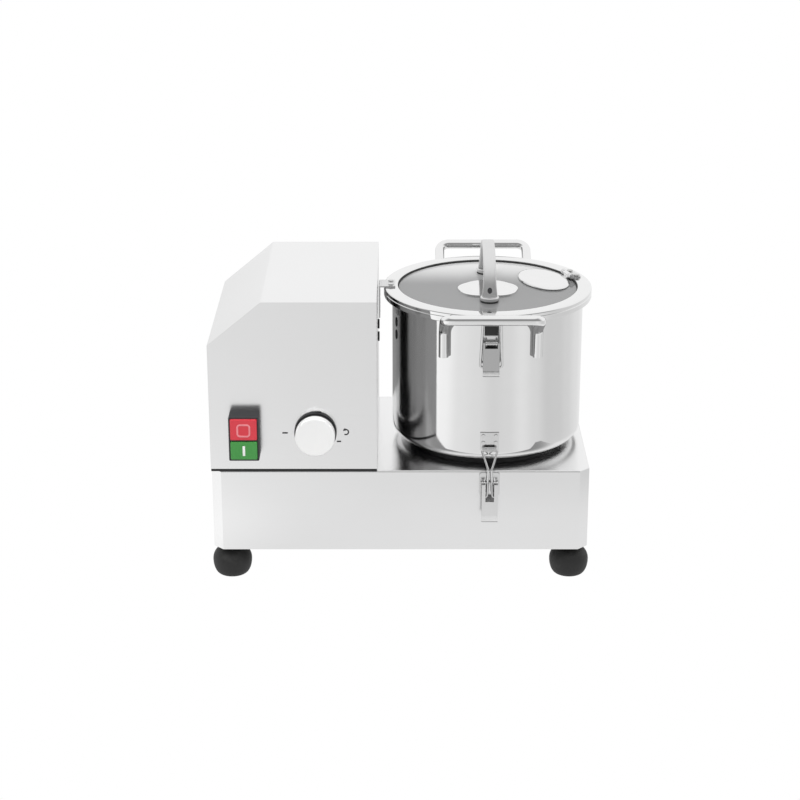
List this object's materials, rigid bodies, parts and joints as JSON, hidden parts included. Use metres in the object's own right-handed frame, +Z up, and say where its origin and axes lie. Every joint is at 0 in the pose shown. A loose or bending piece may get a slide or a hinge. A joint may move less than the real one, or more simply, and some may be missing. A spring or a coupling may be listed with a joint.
{
  "type": "commercial food chopper",
  "caption": "Bench food chopper: motor under a folded steel hood, latched steel bowl with two knives, windowed lid with feed cap, start and stop buttons and a timer.",
  "frame": {"origin": "middle of the overall box at the table, under the feet", "axes": "+X right along the long side, towards the bowl; -Y front with the controls; +Z up"},
  "size_m": [0.429, 0.311, 0.362],
  "materials": {
    "brushed_sheet": "satin sheet with a fine straight grain",
    "polished_steel": "mirror polished stainless steel",
    "zinc_steel": "bright zinc plated fasteners",
    "black_rubber": "matt moulded rubber",
    "dark_plastic": "satin moulded plastic",
    "red_plastic": "gloss moulded plastic",
    "green_plastic": "gloss moulded plastic",
    "white_plastic": "gloss moulded plastic",
    "clear_window": "clear grey-tinted sheet",
    "silicone": "soft translucent white seal",
    "cast_aluminium": "as cast, machined at its faces",
    "painted_motor": "thin grey-blue enamel",
    "pulley_iron": "turned grey iron",
    "ground_steel": "ground and polished",
    "belt_rubber": "cloth-faced rubber",
    "capacitor_case": "pale moulded plastic"
  },
  "bodies": {
    "root": {"base_housing": "brushed_sheet", "base_plate": "brushed_sheet", "base_plate_screws": "zinc_steel", "foot_screws": "zinc_steel", "foot_front_left": "black_rubber", "foot_rear_left": "black_rubber", "foot_front_right": "black_rubber", "foot_rear_right": "black_rubber", "motor_hood": "brushed_sheet", "hood_seal": "black_rubber", "frame_bolts": "zinc_steel", "cable_gland": "dark_plastic", "motor_housing": "painted_motor", "drive_belt": "belt_rubber", "run_capacitor": "capacitor_case", "bearing_housing": "cast_aluminium", "spindle_bearings": "ground_steel", "bowl_seat": "dark_plastic", "lower_latch_bases": "polished_steel", "switch_housing": "dark_plastic", "timer_body": "dark_plastic", "interlock_switch": "dark_plastic"},
    "motor_rotor": {"motor_shaft": "ground_steel", "motor_pulley": "pulley_iron"},
    "spindle": {"spindle": "ground_steel", "spindle_pulley": "pulley_iron"},
    "bowl": {"bowl": "polished_steel", "bowl_handle_front": "polished_steel", "bowl_handle_rear": "polished_steel", "bowl_catches": "polished_steel", "upper_latch_bases": "polished_steel"},
    "knives": {"blade_hub": "ground_steel", "lower_blade": "ground_steel", "blade_spacer": "ground_steel", "upper_blade": "ground_steel", "blade_clamp_nut": "ground_steel", "blade_knob": "dark_plastic"},
    "lid": {"lid_ring": "polished_steel", "lid_window": "clear_window", "lid_gasket": "silicone", "lid_wing_plate": "polished_steel", "lid_handle": "polished_steel", "lid_handle_pads": "black_rubber", "lid_screws": "zinc_steel", "lid_catches": "polished_steel", "cap_hinge": "polished_steel", "interlock_bracket": "polished_steel"},
    "feed_cap": {"feed_cap": "polished_steel"},
    "stop_button": {"stop_button": "red_plastic"},
    "start_button": {"start_button": "green_plastic"},
    "timer_knob": {"knob_skirt": "dark_plastic", "knob_cap": "white_plastic"},
    "lid_latch_lever_front": {"upper_lever_front": "polished_steel"},
    "lid_latch_bail_front": {"upper_bail_front": "polished_steel"},
    "bowl_latch_lever_front": {"lower_lever_front": "polished_steel"},
    "bowl_latch_bail_front": {"lower_bail_front": "polished_steel"},
    "lid_latch_lever_rear": {"upper_lever_rear": "polished_steel"},
    "lid_latch_bail_rear": {"upper_bail_rear": "polished_steel"},
    "bowl_latch_lever_rear": {"lower_lever_rear": "polished_steel"},
    "bowl_latch_bail_rear": {"lower_bail_rear": "polished_steel"}
  },
  "joints": [
    {"name": "spindle_spin", "type": "hinge", "parent": "root", "child": "spindle", "pos_m": [0.097, 0, 0.1], "axis": [0, 0, 1], "continuous": true},
    {"name": "motor_spin", "type": "hinge", "parent": "root", "child": "motor_rotor", "pos_m": [-0.1195, 0, 0.1], "axis": [0, 0, 1], "continuous": true},
    {"name": "bowl_lift", "type": "slide", "parent": "root", "child": "bowl", "axis": [0, 0, 1], "range_m": [0, 0.095]},
    {"name": "knife_spin", "type": "hinge", "parent": "bowl", "child": "knives", "pos_m": [0.097, 0, 0.151], "axis": [0, 0, 1], "continuous": true},
    {"name": "lid_lift", "type": "slide", "parent": "bowl", "child": "lid", "axis": [0, 0, 1], "range_m": [0, 0.08]},
    {"name": "feed_cap_hinge", "type": "hinge", "parent": "lid", "child": "feed_cap", "pos_m": [0.19012, 0.03389, 0.314], "axis": [-0.342, 0.9397, 0], "range_deg": [0, 100]},
    {"name": "lid_latch_lever_front", "type": "hinge", "parent": "bowl", "child": "lid_latch_lever_front", "pos_m": [0.097, -0.113, 0.279], "axis": [-1, 0, 0], "range_deg": [0, 100]},
    {"name": "lid_latch_bail_front", "type": "hinge", "parent": "lid_latch_lever_front", "child": "lid_latch_bail_front", "pos_m": [0.097, -0.1155, 0.2525], "axis": [-1, 0, 0], "range_deg": [-180, 0]},
    {"name": "bowl_latch_lever_front", "type": "hinge", "parent": "root", "child": "bowl_latch_lever_front", "pos_m": [0.097, -0.126, 0.12], "axis": [-1, 0, 0], "range_deg": [0, 100]},
    {"name": "bowl_latch_bail_front", "type": "hinge", "parent": "bowl_latch_lever_front", "child": "bowl_latch_bail_front", "pos_m": [0.097, -0.13, 0.1055], "axis": [-1, 0, 0], "range_deg": [-120, 0]},
    {"name": "lid_latch_lever_rear", "type": "hinge", "parent": "bowl", "child": "lid_latch_lever_rear", "pos_m": [0.097, 0.113, 0.279], "axis": [1, 0, 0], "range_deg": [0, 100]},
    {"name": "lid_latch_bail_rear", "type": "hinge", "parent": "lid_latch_lever_rear", "child": "lid_latch_bail_rear", "pos_m": [0.097, 0.1155, 0.2525], "axis": [1, 0, 0], "range_deg": [-180, 0]},
    {"name": "bowl_latch_lever_rear", "type": "hinge", "parent": "root", "child": "bowl_latch_lever_rear", "pos_m": [0.097, 0.126, 0.12], "axis": [1, 0, 0], "range_deg": [0, 100]},
    {"name": "bowl_latch_bail_rear", "type": "hinge", "parent": "bowl_latch_lever_rear", "child": "bowl_latch_bail_rear", "pos_m": [0.097, 0.13, 0.1055], "axis": [1, 0, 0], "range_deg": [-120, 0]},
    {"name": "stop_button_press", "type": "slide", "parent": "root", "child": "stop_button", "axis": [0, 1, 0], "range_m": [0, 0.003], "stiffness_N_per_m": 300, "springref_m": -0.002},
    {"name": "start_button_press", "type": "slide", "parent": "root", "child": "start_button", "axis": [0, 1, 0], "range_m": [0, 0.003], "stiffness_N_per_m": 300, "springref_m": -0.002},
    {"name": "timer_turn", "type": "hinge", "parent": "root", "child": "timer_knob", "pos_m": [-0.095, -0.121, 0.179], "axis": [0, -1, 0], "range_deg": [-270, 0]}
  ],
  "couplings": [
    {"joint": "motor_spin", "follows": "spindle_spin", "ratio": 1.2},
    {"joint": "knife_spin", "follows": "spindle_spin", "ratio": 1},
    {"joint": "lid_latch_bail_front", "follows": "lid_latch_lever_front", "ratio": -1.8},
    {"joint": "bowl_latch_bail_front", "follows": "bowl_latch_lever_front", "ratio": -1.2},
    {"joint": "lid_latch_bail_rear", "follows": "lid_latch_lever_rear", "ratio": -1.8},
    {"joint": "bowl_latch_bail_rear", "follows": "bowl_latch_lever_rear", "ratio": -1.2}
  ]
}
